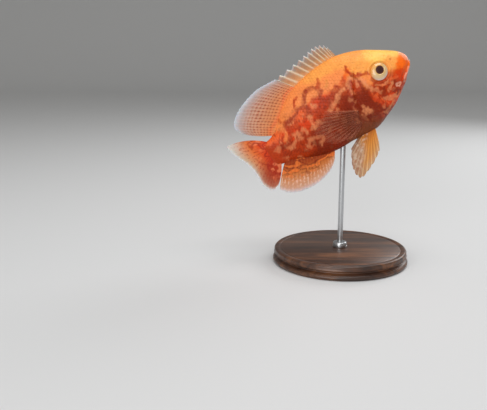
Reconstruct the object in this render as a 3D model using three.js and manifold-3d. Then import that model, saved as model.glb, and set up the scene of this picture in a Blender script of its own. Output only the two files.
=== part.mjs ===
// A young oscar (Astronotus ocellatus) as a life-size display model on a small stand, in millimetres.
// Fish frame: x from the tail root to the snout, y to the fish's left, z up its back.
// Row frame: +Z up, origin at the middle of the underside of the stand's base, head towards +X.
import * as THREE from "three";
import { mergeVertices } from "three/addons/utils/BufferGeometryUtils.js";
import Module from "manifold-3d";

// Driving dimensions
const GAP = 0.3; // between pieces that touch
const NOSE_UP = THREE.MathUtils.degToRad(32.8); // pitch of the body axis
const TAIL_ROOT = { x: -39.7, z: 62.1 }; // where the fish frame's origin stands in the row frame
const RINGS = 31; // cross-sections along the body
const RING_SIDES = 26; // corners of one cross-section
const FIN_THICKNESS = 0.7;
const GILL_COVER_THICKNESS = 1.5;
const EYE = { x: 71.2, z: 6.7, radius: 4.7, dome: 2.1, sink: 2.0, standsProud: 1.0 };
const EYE_LOOK = { forward: THREE.MathUtils.degToRad(8), up: THREE.MathUtils.degToRad(6) };
const BASE = { radius: 38, height: 8, chamfer: 1.5 };
const ROD = { radius: 1.5, foot: 3.5, top: 74 };
const COLLAR = { radius: 4, height: 3 };

const wasm = await Module();
wasm.setup();

// A closed three.js geometry as a solid for joining and cutting
function toSolid(geometry) {
  const bare = geometry.clone();
  bare.deleteAttribute("normal");
  bare.deleteAttribute("uv");
  const merged = mergeVertices(bare, 1e-4);
  return new wasm.Manifold(
    new wasm.Mesh({
      numProp: 3,
      vertProperties: merged.attributes.position.array,
      triVerts: new Uint32Array(merged.index.array),
    }),
  );
}

// A solid as a three.js geometry
function toGeometry(solid) {
  const { numProp, numVert, vertProperties, triVerts } = solid.getMesh();
  const position = new Float32Array(numVert * 3);
  for (let i = 0; i < numVert; i++)
    position.set(vertProperties.subarray(i * numProp, i * numProp + 3), i * 3);
  const geometry = new THREE.BufferGeometry();
  geometry.setAttribute("position", new THREE.BufferAttribute(position, 3));
  geometry.setIndex(new THREE.BufferAttribute(triVerts, 1));
  const flat = geometry.toNonIndexed();
  flat.computeVertexNormals();
  return flat;
}

// A smooth curve through [x, z] points of the fish frame
const curve = (points) =>
  new THREE.SplineCurve(points.map(([x, z]) => new THREE.Vector2(x, z)));

// The body's sections, from the tail root to the snout: outline above and below, half width,
// height of the widest line, and how full the section is above and below that line.
const SECTIONS = [
  { x: -1.6, top: 3.6, bottom: -5.4, half: 0.7, widest: -1.0, above: 2.2, below: 2.2 },
  { x: 0.0, top: 5.9, bottom: -7.8, half: 1.7, widest: -1.0, above: 2.2, below: 2.2 },
  { x: 4.0, top: 6.6, bottom: -8.9, half: 2.7, widest: -0.8, above: 2.1, below: 2.1 },
  { x: 8.0, top: 8.8, bottom: -9.9, half: 3.4, widest: -0.4, above: 2.0, below: 2.0 },
  { x: 13.0, top: 13.2, bottom: -11.7, half: 4.5, widest: 0.4, above: 1.9, below: 1.9 },
  { x: 18.0, top: 17.4, bottom: -14.1, half: 5.6, widest: 1.0, above: 1.85, below: 1.9 },
  { x: 25.0, top: 21.6, bottom: -16.8, half: 7.0, widest: 1.6, above: 1.85, below: 1.9 },
  { x: 33.0, top: 24.1, bottom: -18.4, half: 8.4, widest: 2.0, above: 1.85, below: 2.0 },
  { x: 42.0, top: 25.5, bottom: -18.5, half: 9.5, widest: 2.2, above: 1.85, below: 2.1 },
  { x: 50.0, top: 25.8, bottom: -19.6, half: 10.0, widest: 2.4, above: 1.8, below: 2.1 },
  { x: 57.0, top: 25.1, bottom: -19.5, half: 10.1, widest: 2.8, above: 1.75, below: 2.0 },
  { x: 64.0, top: 23.0, bottom: -17.0, half: 9.8, widest: 3.4, above: 1.75, below: 1.9 },
  { x: 70.0, top: 20.3, bottom: -14.4, half: 9.2, widest: 4.0, above: 1.8, below: 1.85 },
  { x: 76.0, top: 16.5, bottom: -10.5, half: 8.1, widest: 4.0, above: 1.85, below: 1.85 },
  { x: 81.0, top: 13.1, bottom: -6.8, half: 6.8, widest: 3.6, above: 1.95, below: 1.9 },
  { x: 85.0, top: 10.1, bottom: -2.9, half: 5.2, widest: 3.3, above: 2.0, below: 2.0 },
  { x: 87.1, top: 7.7, bottom: -0.5, half: 3.8, widest: 3.4, above: 2.0, below: 2.0 },
  { x: 88.2, top: 5.7, bottom: 1.3, half: 2.1, widest: 3.4, above: 2.0, below: 2.0 },
  { x: 88.5, top: 3.5, bottom: 3.3, half: 0.1, widest: 3.4, above: 2.0, below: 2.0 },
];
const sectionLine = (name) => curve(SECTIONS.map((s) => [s.x, s[name]]));
const SECTION_LINES = Object.fromEntries(
  ["top", "bottom", "half", "widest", "above", "below"].map((name) => [name, sectionLine(name)]),
);

// The body's section at a share t of the way from the tail root to the snout
function sectionAt(t) {
  const section = { x: SECTION_LINES.top.getPoint(t).x };
  for (const [name, line] of Object.entries(SECTION_LINES)) section[name] = line.getPoint(t).y;
  return section;
}

// The body's half width at a place on its side, in the fish frame
function halfWidthAt(x, z) {
  let low = 0;
  let high = 1;
  while (high - low > 1e-4) {
    const middle = (low + high) / 2;
    if (sectionAt(middle).x < x) low = middle;
    else high = middle;
  }
  const s = sectionAt(low);
  const above = z > s.widest;
  const reach = above ? s.top - s.widest : s.widest - s.bottom;
  const power = above ? s.above : s.below;
  const share = Math.min(1, Math.abs(z - s.widest) / reach);
  return s.half * (1 - share ** power) ** (1 / power);
}

// A closed mesh from rings of like numbers of points, with both ends capped at their middles
function ringsToGeometry(rings) {
  const sides = rings[0].length;
  const points = rings.flat();
  const middleOf = (ring) =>
    ring.reduce((sum, p) => sum.add(p), new THREE.Vector3()).divideScalar(ring.length);
  const first = points.push(middleOf(rings[0])) - 1;
  const last = points.push(middleOf(rings[rings.length - 1])) - 1;
  const index = [];
  const at = (ring, side) => ring * sides + (side % sides);
  for (let side = 0; side < sides; side++) {
    index.push(first, at(0, side), at(0, side + 1));
    index.push(last, at(rings.length - 1, side + 1), at(rings.length - 1, side));
    for (let ring = 0; ring < rings.length - 1; ring++) {
      index.push(at(ring, side + 1), at(ring, side), at(ring + 1, side));
      index.push(at(ring + 1, side + 1), at(ring, side + 1), at(ring + 1, side));
    }
  }
  const geometry = new THREE.BufferGeometry().setFromPoints(points);
  geometry.setIndex(index);
  return geometry;
}

// The whole body without fins, grown outwards or shrunk inwards by a distance
function bodySolid(grow) {
  const rings = [];
  for (let i = 0; i <= RINGS; i++) {
    const s = sectionAt(i / RINGS);
    const ring = [];
    for (let k = 0; k < RING_SIDES; k++) {
      const angle = (2 * Math.PI * k) / RING_SIDES;
      const up = Math.cos(angle);
      const side = Math.sin(angle);
      const power = 2 / (up > 0 ? s.above : s.below);
      const reach = up > 0 ? s.top - s.widest : s.widest - s.bottom;
      ring.push(
        new THREE.Vector3(
          s.x,
          Math.max(0.05, s.half + grow) * Math.sign(side) * Math.abs(side) ** power,
          s.widest + Math.max(0.05, reach + grow) * Math.sign(up) * Math.abs(up) ** power,
        ),
      );
    }
    rings.push(ring);
  }
  return toSolid(ringsToGeometry(rings));
}

// A flat outline in the fish's x and z, extruded across the body between two y values
function plate(outline, fromY, toY) {
  const shape = new THREE.Shape(outline);
  const geometry = new THREE.ExtrudeGeometry(shape, {
    depth: toY - fromY,
    bevelEnabled: false,
  });
  geometry.rotateX(Math.PI / 2);
  geometry.translate(0, toY, 0);
  return toSolid(geometry);
}

// A thin wall along a curve in the fish's x and z, right across the body, that parts two pieces
const ACROSS = 40; // wider than the body
const SEAM_STEPS = 10;
function partingWall(points, steps) {
  const line = curve(points);
  const left = [];
  const right = [];
  for (let i = 0; i <= steps; i++) {
    const p = line.getPoint(i / steps);
    const t = line.getTangent(i / steps);
    const out = new THREE.Vector2(-t.y, t.x).multiplyScalar(GAP / 2);
    left.push(p.clone().add(out));
    right.unshift(p.clone().sub(out));
  }
  return plate([...left, ...right], -ACROSS / 2, ACROSS / 2);
}

// The separate bodies of a solid, ordered from the tail to the snout
function bodiesAlong(solid) {
  const middle = (s) => {
    const { min, max } = s.boundingBox();
    return (min[0] + max[0]) / 2;
  };
  return solid.decompose().sort((a, b) => middle(a) - middle(b));
}

// Gill covers: thin plates over the sides of the head, from behind the eye to the gill opening
const GILL_OPENING = [
  [60.5, 15.5],
  [57.5, 11.0],
  [54.2, 6.0],
  [52.3, 0.5],
  [51.8, -5.0],
  [52.8, -11.0],
  [56.5, -16.0],
];
const PREOPERCLE_EDGE = [
  [61.0, -18.2],
  [65.4, -12.5],
  [64.4, -5.5],
  [62.6, 1.0],
  [62.4, 9.0],
];
const gillOutline = curve([...GILL_OPENING, ...PREOPERCLE_EDGE, GILL_OPENING[0]]).getPoints(44).slice(1);
const body = bodySolid(0);
const shell = body.subtract(bodySolid(-GILL_COVER_THICKNESS));
const shellWithGap = bodySolid(1).subtract(bodySolid(-GILL_COVER_THICKNESS - GAP));
function grownOutline(outline, by) {
  const middle = outline.reduce((sum, p) => sum.add(p), new THREE.Vector2()).divideScalar(outline.length);
  return outline.map((p) => p.clone().add(p.clone().sub(middle).setLength(by)));
}
const MIDLINE_CLEARANCE = 2.5; // a gill cover keeps this far from the middle of the throat
const gillCover = { right: [-ACROSS / 2, -MIDLINE_CLEARANCE], left: [MIDLINE_CLEARANCE, ACROSS / 2] };
const covers = {};
let core = body;
for (const [side, [fromY, toY]] of Object.entries(gillCover)) {
  covers[side] = shell.intersect(plate(gillOutline, fromY, toY));
  const gapFrom = side === "right" ? fromY : fromY - GAP;
  const gapTo = side === "right" ? toY + GAP : toY;
  core = core.subtract(shellWithGap.intersect(plate(grownOutline(gillOutline, GAP), gapFrom, gapTo)));
}

// The mouth: the line where the lips meet, and the seams of both jaws
const MOUTH_CORNER = [78.6, -5.2];
const MOUTH_LINE = [MOUTH_CORNER, [82.6, -3.2], [86.0, -1.1], [92.0, 1.4]];
const UPPER_JAW_SEAM = [MOUTH_CORNER, [79.6, -2.0], [83.2, 1.2], [86.6, 4.4], [92.0, 7.6]];
const LOWER_JAW_SEAM = [MOUTH_CORNER, [77.2, -8.0], [75.6, -11.0], [73.6, -18.0]];
const HEAD_SEAM = [
  [64.0, 32.0],
  [61.6, 20.0],
  [59.0, 8.0],
  [58.0, -6.0],
  [58.6, -18.0],
  [59.4, -28.0],
];
const TAIL_SEAM = [
  [6.6, 30.0],
  [7.8, 4.0],
  [7.6, -6.0],
  [6.4, -30.0],
];
const parted = [HEAD_SEAM, TAIL_SEAM, MOUTH_LINE, UPPER_JAW_SEAM, LOWER_JAW_SEAM].reduce(
  (solid, seam) => solid.subtract(partingWall(seam, SEAM_STEPS)),
  core,
);
const [tail, trunkSolid, headSolid, ...jaws] = bodiesAlong(parted).filter((s) => s.volume() > 1);
const [lowerJaw, upperJaw] = jaws.sort((a, b) => a.boundingBox().min[2] - b.boundingBox().min[2]);

// Eyes: shallow domes in open sockets, looking out of the sides of the head
function eyeGeometry(radius, dome, sink) {
  const profile = [new THREE.Vector2(0, -sink), new THREE.Vector2(radius, -sink)];
  const steps = 5;
  for (let i = 0; i < steps; i++) {
    const angle = (i / steps) * (Math.PI / 2);
    profile.push(new THREE.Vector2(radius * Math.cos(angle), dome * Math.sin(angle)));
  }
  profile.push(new THREE.Vector2(0, dome));
  return new THREE.LatheGeometry(profile, 20);
}
const eyeRim = halfWidthAt(EYE.x, EYE.z) + EYE.standsProud - EYE.dome;
function placeEye(geometry, side) {
  if (side < 0) geometry.rotateX(Math.PI);
  geometry.rotateX(side * EYE_LOOK.up);
  geometry.rotateZ(-side * EYE_LOOK.forward);
  return geometry.translate(EYE.x, side * eyeRim, EYE.z);
}
let head = headSolid;
const eyes = {};
for (const [name, side] of Object.entries({ eye_right: -1, eye_left: 1 })) {
  eyes[name] = placeEye(eyeGeometry(EYE.radius, EYE.dome, EYE.sink), side);
  const socket = eyeGeometry(EYE.radius + GAP, 4 * EYE.dome, EYE.sink + GAP);
  head = head.subtract(toSolid(placeEye(socket, side)));
}

// Fins: fans of rays from a root line to a margin line. Each ray has a sideways offset, and its
// middle may bulge forwards or back in the fin's own plane.
function finSolid({ root, margin, sideways, bulge = () => 0, rays, steps }) {
  const rootLine = curve(root);
  const marginLine = curve(margin);
  const rings = [];
  for (let i = 0; i <= rays; i++) {
    const ray = i / rays;
    const from = rootLine.getPoint(ray);
    const to = marginLine.getPoint(ray);
    const across = new THREE.Vector2(to.y - from.y, from.x - to.x).normalize();
    const face = [];
    for (let k = 0; k <= steps; k++) {
      const out = k / steps;
      const p = from.clone().lerp(to, out);
      p.addScaledVector(across, bulge(ray) * 4 * out * (1 - out));
      face.push(new THREE.Vector3(p.x, sideways(ray, out, p), p.y));
    }
    const half = new THREE.Vector3(0, FIN_THICKNESS / 2, 0);
    const leftSide = face.map((p) => p.clone().add(half));
    const rightSide = face.map((p) => p.clone().sub(half)).reverse();
    rings.push([...leftSide, ...rightSide]);
  }
  const solid = toSolid(ringsToGeometry(rings));
  return solid.volume() < 0 ? toSolid(ringsToGeometry(rings.reverse())) : solid;
}
const clearOfBody = bodySolid(GAP);
const trimmed = (fin) =>
  fin
    .subtract(clearOfBody)
    .decompose()
    .sort((a, b) => b.volume() - a.volume())[0];

const REAR_LEAN = { dorsal: 1.2, anal: 1.6 }; // how far each fin's rear tip leans to the fish's left
const dorsalSpiny = trimmed(
  finSolid({
    root: [[57.4, 24.0], [56.0, 24.3], [53.2, 24.5], [47.6, 24.5], [40.0, 24.0], [30.4, 22.6]],
    margin: [[56.7, 27.0], [54.9, 32.6], [49.8, 35.5], [43.2, 34.6], [34.0, 33.4], [23.2, 32.4]],
    sideways: () => 0,
    rays: 20,
    steps: 3,
  }),
);
const dorsalSoft = trimmed(
  finSolid({
    root: [[29.9, 22.4], [24.5, 19.8], [18.5, 15.8], [12.5, 10.2], [7.6, 6.6]],
    margin: [
      [22.7, 32.4],
      [17.4, 32.8],
      [12.0, 33.1],
      [6.0, 32.1],
      [0.0, 30.2],
      [-5.0, 27.6],
      [-8.4, 24.8],
      [-9.7, 21.4],
      [-8.0, 17.2],
    ],
    sideways: (ray, out) => REAR_LEAN.dorsal * ray * out * out,
    bulge: (ray) => -0.9 * ray ** 4,
    rays: 20,
    steps: 4,
  }),
);
const CAUDAL_CUP = 11; // how far the middle of the tail fin is swept to the fish's left
const CAUDAL_CUP_EDGES = { upper: 0.04, lower: 0.9 }; // where the sweep starts and ends across its rays
const caudal = trimmed(
  finSolid({
    root: [[1.6, 5.6], [-0.4, 2.8], [-0.8, -1.0], [-0.4, -5.0], [1.6, -8.2]],
    margin: [
      [-19.3, 15.9],
      [-18.9, 10.8],
      [-17.0, 4.8],
      [-14.9, -1.6],
      [-14.2, -8.3],
      [-14.4, -14.2],
      [-13.0, -18.4],
      [-10.4, -19.9],
      [-7.2, -18.7],
    ],
    sideways: (ray, out) => {
      const across = THREE.MathUtils.lerp(CAUDAL_CUP_EDGES.upper, CAUDAL_CUP_EDGES.lower, ray);
      return CAUDAL_CUP * Math.sin(Math.PI * across) ** 1.2 * out ** 1.7;
    },
    bulge: (ray) => 2.2 * (1 - ray) ** 5 - 0.8 * ray ** 4,
    rays: 20,
    steps: 6,
  }),
);
const anal = trimmed(
  finSolid({
    root: [[31.0, -16.8], [24.5, -14.6], [17.8, -11.8], [11.0, -9.2], [4.8, -7.6]],
    margin: [
      [27.8, -22.2],
      [24.8, -25.0],
      [20.4, -27.2],
      [15.5, -28.5],
      [10.5, -28.9],
      [5.5, -28.4],
      [0.5, -27.0],
      [-4.2, -24.3],
      [-7.0, -20.6],
    ],
    sideways: (ray, out) => REAR_LEAN.anal * ray * out * out,
    bulge: (ray) => 0.6 * ray ** 4,
    rays: 20,
    steps: 4,
  }),
);

// Paired fins, given for the right side; the left one mirrors it with its own spread
const PECTORAL_SPREAD = { right: 3.2, left: 9 }; // how far each fin's edge stands off the body
const PECTORAL_SEAT = 0.1; // how far off the body it starts
function pectoral(side) {
  const sign = side === "right" ? -1 : 1;
  const spread = PECTORAL_SPREAD[side];
  return trimmed(
    finSolid({
      root: [[51.4, -4.6], [50.4, -7.2], [49.8, -9.6], [49.6, -12.2]],
      margin: [
        [36.0, 5.0],
        [30.0, 3.4],
        [26.4, -0.4],
        [26.0, -5.2],
        [28.6, -10.2],
        [33.6, -14.4],
        [42.4, -17.2],
      ],
      sideways: (ray, out, p) => sign * (halfWidthAt(p.x, p.y) + PECTORAL_SEAT + spread * out ** 0.8),
      rays: 15,
      steps: 5,
    }),
  );
}
const PELVIC_SWEEP = { right: 0, left: 1.0 }; // how far back the fin's tip lies
const PELVIC_STANCE = { root: 2.6, acrossRays: 0.6, towardsTip: 1.4 }; // distance from the midline
function pelvic(side) {
  const sign = side === "right" ? -1 : 1;
  const sweep = PELVIC_SWEEP[side];
  return trimmed(
    finSolid({
      root: [[55.4, -18.2], [53.2, -18.2], [51.0, -18.0], [48.8, -17.6]],
      margin: [
        [53.2, -25.0],
        [50.4, -30.4],
        [43.2 + sweep, -35.2],
        [34.8 + sweep, -38.0],
        [33.4 + sweep, -31.8],
        [37.8 + sweep, -23.0],
      ],
      sideways: (ray, out) =>
        sign * (PELVIC_STANCE.root + PELVIC_STANCE.acrossRays * ray + PELVIC_STANCE.towardsTip * out),
      rays: 12,
      steps: 5,
    }),
  );
}

// Stand: a turned base, a steel rod in a blind hole at its middle, and a collar where the rod leaves it
function turned(profile, segments) {
  return new THREE.LatheGeometry(profile.map(([r, z]) => new THREE.Vector2(r, z)), segments).rotateX(
    Math.PI / 2,
  );
}
const barAlongZ = (radius, from, to, segments) =>
  turned([[0, from], [radius, from], [radius, to], [0, to]], segments);
const STAND_SIDES = 44;
const ROD_SIDES = 20;
const COLLAR_SHOULDER = 0.6; // share of the collar's height below its bevel
const BORE = ROD.radius + GAP;
const baseGeometry = toGeometry(
  toSolid(
    turned(
      [
        [0, 0],
        [BASE.radius, 0],
        [BASE.radius, BASE.height - BASE.chamfer],
        [BASE.radius - BASE.chamfer, BASE.height],
        [0, BASE.height],
      ],
      STAND_SIDES,
    ),
  ).subtract(toSolid(barAlongZ(BORE, ROD.foot - GAP, 2 * BASE.height, ROD_SIDES))),
);
const collarFoot = BASE.height + GAP;
const collarGeometry = turned(
  [
    [BORE, collarFoot],
    [COLLAR.radius, collarFoot],
    [COLLAR.radius, collarFoot + COLLAR_SHOULDER * COLLAR.height],
    [COLLAR.radius - (1 - COLLAR_SHOULDER) * COLLAR.height, collarFoot + COLLAR.height],
    [BORE, collarFoot + COLLAR.height],
    [BORE, collarFoot],
  ],
  ROD_SIDES,
);
const rodGeometry = barAlongZ(ROD.radius, ROD.foot, ROD.top - 2 * GAP, ROD_SIDES);

// Where the fish hangs in the row frame, and the blind hole that the rod's top takes in its belly
const fish = new THREE.Group();
fish.position.set(TAIL_ROOT.x, 0, TAIL_ROOT.z);
fish.rotation.y = -NOSE_UP;
fish.updateMatrix();
const rowToFish = fish.matrix.clone().invert();
const rodHole = toSolid(barAlongZ(BORE, BASE.height, ROD.top, ROD_SIDES).applyMatrix4(rowToFish));
const trunk = trunkSolid.subtract(rodHole);

const finish = (color, roughness, metalness = 0) => ({ color, roughness, metalness });
const FINISHES = {
  head: finish(0xf09a48, 0.45),
  jaw: finish(0xe8602a, 0.4),
  gill: finish(0x9a3018, 0.45),
  flank: finish(0xd8622c, 0.5),
  tail: finish(0xc03c18, 0.5),
  fin: finish(0xd8a080, 0.45),
  redFin: finish(0xc86840, 0.45),
  eye: finish(0xe8d8a8, 0.15),
  wood: finish(0x5a3a22, 0.4),
  steel: finish(0xb8b8b8, 0.3, 1),
};
const nodes = (group, entries) => {
  for (const [name, [geometry, look]] of Object.entries(entries)) {
    const mesh = new THREE.Mesh(geometry, new THREE.MeshStandardMaterial(look));
    mesh.name = name;
    group.add(mesh);
  }
};
nodes(fish, {
  head: [toGeometry(head), FINISHES.head],
  upper_jaw: [toGeometry(upperJaw), FINISHES.jaw],
  lower_jaw: [toGeometry(lowerJaw), FINISHES.jaw],
  gill_cover_right: [toGeometry(covers.right), FINISHES.gill],
  gill_cover_left: [toGeometry(covers.left), FINISHES.gill],
  trunk: [toGeometry(trunk), FINISHES.flank],
  tail: [toGeometry(tail), FINISHES.tail],
  dorsal_fin_spiny: [toGeometry(dorsalSpiny), FINISHES.fin],
  dorsal_fin_soft: [toGeometry(dorsalSoft), FINISHES.fin],
  caudal_fin: [toGeometry(caudal), FINISHES.redFin],
  anal_fin: [toGeometry(anal), FINISHES.redFin],
  pectoral_fin_right: [toGeometry(pectoral("right")), FINISHES.redFin],
  pectoral_fin_left: [toGeometry(pectoral("left")), FINISHES.redFin],
  pelvic_fin_right: [toGeometry(pelvic("right")), FINISHES.fin],
  pelvic_fin_left: [toGeometry(pelvic("left")), FINISHES.fin],
  eye_right: [eyes.eye_right, FINISHES.eye],
  eye_left: [eyes.eye_left, FINISHES.eye],
});
const part = new THREE.Group();
part.add(fish);
nodes(part, {
  stand_base: [baseGeometry, FINISHES.wood],
  stand_rod: [rodGeometry, FINISHES.steel],
  stand_collar: [collarGeometry, FINISHES.steel],
});
export default part;
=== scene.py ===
# A young oscar as a life-size display model on its stand, finished for rendering.
# The body's shape is worked out in the fish's own millimetres, x from the tail root to the snout,
# y to its left and z up its back, and then placed in the frame's metres.
import math

import bmesh
import bpy
import numpy as np
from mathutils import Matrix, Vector


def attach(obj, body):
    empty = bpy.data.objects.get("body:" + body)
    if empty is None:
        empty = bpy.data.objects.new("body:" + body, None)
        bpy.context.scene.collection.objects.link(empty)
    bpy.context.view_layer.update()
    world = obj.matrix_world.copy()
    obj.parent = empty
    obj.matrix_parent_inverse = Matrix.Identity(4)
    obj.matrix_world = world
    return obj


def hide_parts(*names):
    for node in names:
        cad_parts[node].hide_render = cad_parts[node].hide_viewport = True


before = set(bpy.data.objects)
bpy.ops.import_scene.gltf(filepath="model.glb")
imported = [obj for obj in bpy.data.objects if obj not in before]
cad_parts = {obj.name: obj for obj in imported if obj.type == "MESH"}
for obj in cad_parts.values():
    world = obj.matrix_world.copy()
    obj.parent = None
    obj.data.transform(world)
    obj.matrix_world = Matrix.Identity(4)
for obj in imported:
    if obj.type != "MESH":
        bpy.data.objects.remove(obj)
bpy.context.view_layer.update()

# Camera: a 50 mm lens level with the fish's back, looking slightly down on it, as in the photograph.
CAMERA_PLACE = (-0.05494, -0.37096, 0.11793)
CAMERA_DOWN = math.radians(13.0)
lens = bpy.data.cameras.new("camera")
lens.lens = 50.0
lens.sensor_width = 36.0
camera = bpy.data.objects.new("camera", lens)
camera.location = CAMERA_PLACE
camera.rotation_euler = (math.pi / 2 - CAMERA_DOWN, 0.0, 0.0)
bpy.context.scene.collection.objects.link(camera)
bpy.context.scene.camera = camera
bpy.context.scene.view_settings.view_transform = "Standard"


# Studio: a pale sheet of paper that runs back and curves up behind the model, lit by three soft
# lamps, one overhead, one beside the camera and one behind, and by a dim even sky.
def linear(colour):
    """An sRGB hex colour as linear red, green and blue."""
    channels = [int(colour[i:i + 2], 16) / 255.0 for i in (1, 3, 5)]
    return np.array([c / 12.92 if c <= 0.04045 else ((c + 0.055) / 1.055) ** 2.4 for c in channels])


def rgba(colour):
    """The same colour as a shader socket takes it."""
    return (*linear(colour), 1.0)


def add_node(tree, kind, inputs=None, **settings):
    """Adds a node with its settings, its sockets' values and its links."""
    node = tree.nodes.new("ShaderNode" + kind)
    for name, value in settings.items():
        setattr(node, name, value)
    for name, value in (inputs or {}).items():
        if isinstance(value, bpy.types.NodeSocket):
            tree.links.new(value, node.inputs[name])
        else:
            node.inputs[name].default_value = value
    return node


def new_material(name, **sockets):
    """A material with values on its shader's own sockets, and its node tree and shader."""
    material = bpy.data.materials.new(name)
    material.use_nodes = True
    shader = material.node_tree.nodes["Principled BSDF"]
    for socket, value in sockets.items():
        shader.inputs[socket.replace("_", " ")].default_value = value
    return material, material.node_tree, shader


def per_metre(size_mm):
    """The noise scale that makes features of a size in millimetres."""
    return 1000.0 / size_mm


PAPER_HALF_WIDTH = 2.5
PAPER_FRONT = -1.5
PAPER_BACK = 1.6
PAPER_BEND = 0.5
PAPER_TOP = 2.4
PAPER_ROWS = 60
paper_material, tree, shader = new_material("matt_paper", Roughness=0.9)
shader.inputs["Base Color"].default_value = rgba("#D9DADB")
paper_grain = add_node(tree, "TexNoise", {"Scale": per_metre(4.0), "Detail": 3.0})
paper_bump = add_node(tree, "Bump", {"Height": paper_grain.outputs[0], "Strength": 0.05, "Distance": 0.0002})
tree.links.new(paper_bump.outputs[0], shader.inputs["Normal"])
bm = bmesh.new()
bmesh.ops.create_grid(bm, x_segments=2, y_segments=PAPER_ROWS, size=1.0)
for vertex in bm.verts:
    run = (vertex.co.y + 1.0) / 2.0 * (PAPER_BACK - PAPER_FRONT + PAPER_BEND * math.pi / 2 + PAPER_TOP)
    bend = (run - (PAPER_BACK - PAPER_FRONT)) / PAPER_BEND
    turn = min(max(bend, 0.0), math.pi / 2)
    rise = max(bend - math.pi / 2, 0.0) * PAPER_BEND
    flat = min(run, PAPER_BACK - PAPER_FRONT)
    vertex.co = (
        vertex.co.x * PAPER_HALF_WIDTH,
        PAPER_FRONT + flat + PAPER_BEND * math.sin(turn),
        PAPER_BEND * (1.0 - math.cos(turn)) + rise,
    )
paper_mesh = bpy.data.meshes.new("paper")
bm.to_mesh(paper_mesh)
bm.free()
paper_mesh.shade_smooth()
paper_mesh.materials.append(paper_material)
paper = bpy.data.objects.new("paper", paper_mesh)
bpy.context.scene.collection.objects.link(paper)

LIGHTS = {  # place, size and power in metres and watts
    "overhead": ((0.05, -0.10, 0.75), 0.50, 3.0),
    "front": ((-0.35, -0.85, 0.28), 0.60, 4.2),
    "rim": ((0.45, 0.45, 0.40), 0.40, 1.6),
}
LIGHTS_AIM = Vector((0.0, 0.0, 0.08))
SKY_STRENGTH = 0.37
for name, (place, size, power) in LIGHTS.items():
    lamp = bpy.data.lights.new(name, "AREA")
    lamp.size = size
    lamp.energy = power
    light = bpy.data.objects.new(name, lamp)
    light.location = place
    light.rotation_euler = (LIGHTS_AIM - Vector(place)).to_track_quat("-Z", "Y").to_euler()
    bpy.context.scene.collection.objects.link(light)
world = bpy.data.worlds.new("studio")
world.use_nodes = True
world.node_tree.nodes["Background"].inputs["Color"].default_value = rgba("#EEECE8")
world.node_tree.nodes["Background"].inputs["Strength"].default_value = SKY_STRENGTH
bpy.context.scene.world = world

# Skin: one unbroken painted skin over the whole body, laid inside the solids by the scales' depth.
# Its folds, lips, nostrils, gill openings and eye rims are raised and sunk in the skin itself.
NOSE_UP = math.radians(32.8)
TAIL_ROOT = (-39.7, 62.1)  # where the fish's origin stands in the frame's x and z, in millimetres
SKIN_DEPTH = 0.25
SECTIONS = np.array([  # x, top, bottom, half width, widest line, fullness above and below it
    (-1.6, 3.6, -5.4, 0.7, -1.0, 2.2, 2.2), (0.0, 5.9, -7.8, 1.7, -1.0, 2.2, 2.2),
    (4.0, 6.6, -8.9, 2.7, -0.8, 2.1, 2.1), (8.0, 8.8, -9.9, 3.4, -0.4, 2.0, 2.0),
    (13.0, 13.2, -11.7, 4.5, 0.4, 1.9, 1.9), (18.0, 17.4, -14.1, 5.6, 1.0, 1.85, 1.9),
    (25.0, 21.6, -16.8, 7.0, 1.6, 1.85, 1.9), (33.0, 24.1, -18.4, 8.4, 2.0, 1.85, 2.0),
    (42.0, 25.5, -18.5, 9.5, 2.2, 1.85, 2.1), (50.0, 25.8, -19.6, 10.0, 2.4, 1.8, 2.1),
    (57.0, 25.1, -19.5, 10.1, 2.8, 1.75, 2.0), (64.0, 23.0, -17.0, 9.8, 3.4, 1.75, 1.9),
    (70.0, 20.3, -14.4, 9.2, 4.0, 1.8, 1.85), (76.0, 16.5, -10.5, 8.1, 4.0, 1.85, 1.85),
    (81.0, 13.1, -6.8, 6.8, 3.6, 1.95, 1.9), (85.0, 10.1, -2.9, 5.2, 3.3, 2.0, 2.0),
    (87.1, 7.7, -0.5, 3.8, 3.4, 2.0, 2.0), (88.2, 5.7, 1.3, 2.1, 3.4, 2.0, 2.0),
    (88.5, 3.5, 3.3, 0.1, 3.4, 2.0, 2.0),
])
HEAD_START = 10 / 18  # the share of the sections at which the head begins
EYE = (71.2, 6.7)
EYE_RADIUS = 4.7
EYE_DOME = 2.1
EYE_PROUD = 1.0
EYE_LID = 0.30  # how far the skin round the eye stands over the rim of the dome
SOCKET_DEPTH = 0.9
EYE_FORWARD = math.radians(8.0)
EYE_UP = math.radians(6.0)


def through(points, shares):
    """A smooth curve through points, read at shares of its length from 0 to 1."""
    points = np.asarray(points, float)
    last = len(points) - 1
    place = np.clip(shares, 0.0, 1.0) * last
    i = np.minimum(np.floor(place).astype(int), last - 1)
    w = (place - i)[..., None]
    a, b, c, d = (points[np.clip(i + k, 0, last)] for k in (-1, 0, 1, 2))
    v0, v1 = (c - a) / 2, (d - b) / 2
    return (2 * b - 2 * c + v0 + v1) * w ** 3 + (-3 * b + 3 * c - 2 * v0 - v1) * w ** 2 + v0 * w + b


def bare_body(share, angle):
    """The body's surface at shares from tail to snout and angles from the ridge of the back."""
    x, top, bottom, half, widest, above, below = np.moveaxis(through(SECTIONS, share), -1, 0)
    up, side = np.cos(angle), np.sin(angle)
    power = 2.0 / np.where(up > 0, above, below)
    reach = np.where(up > 0, top - widest, widest - bottom)
    y = half * np.sign(side) * np.abs(side) ** power
    z = widest + reach * np.sign(up) * np.abs(up) ** power
    return np.stack([x, y, z], -1)


def smooth(lowest, highest, value):
    """Rises smoothly from 0 to 1 between two values; both may be in falling order."""
    share = np.clip((value - lowest) / (highest - lowest), 0.0, 1.0)
    return share * share * (3.0 - 2.0 * share)


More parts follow.
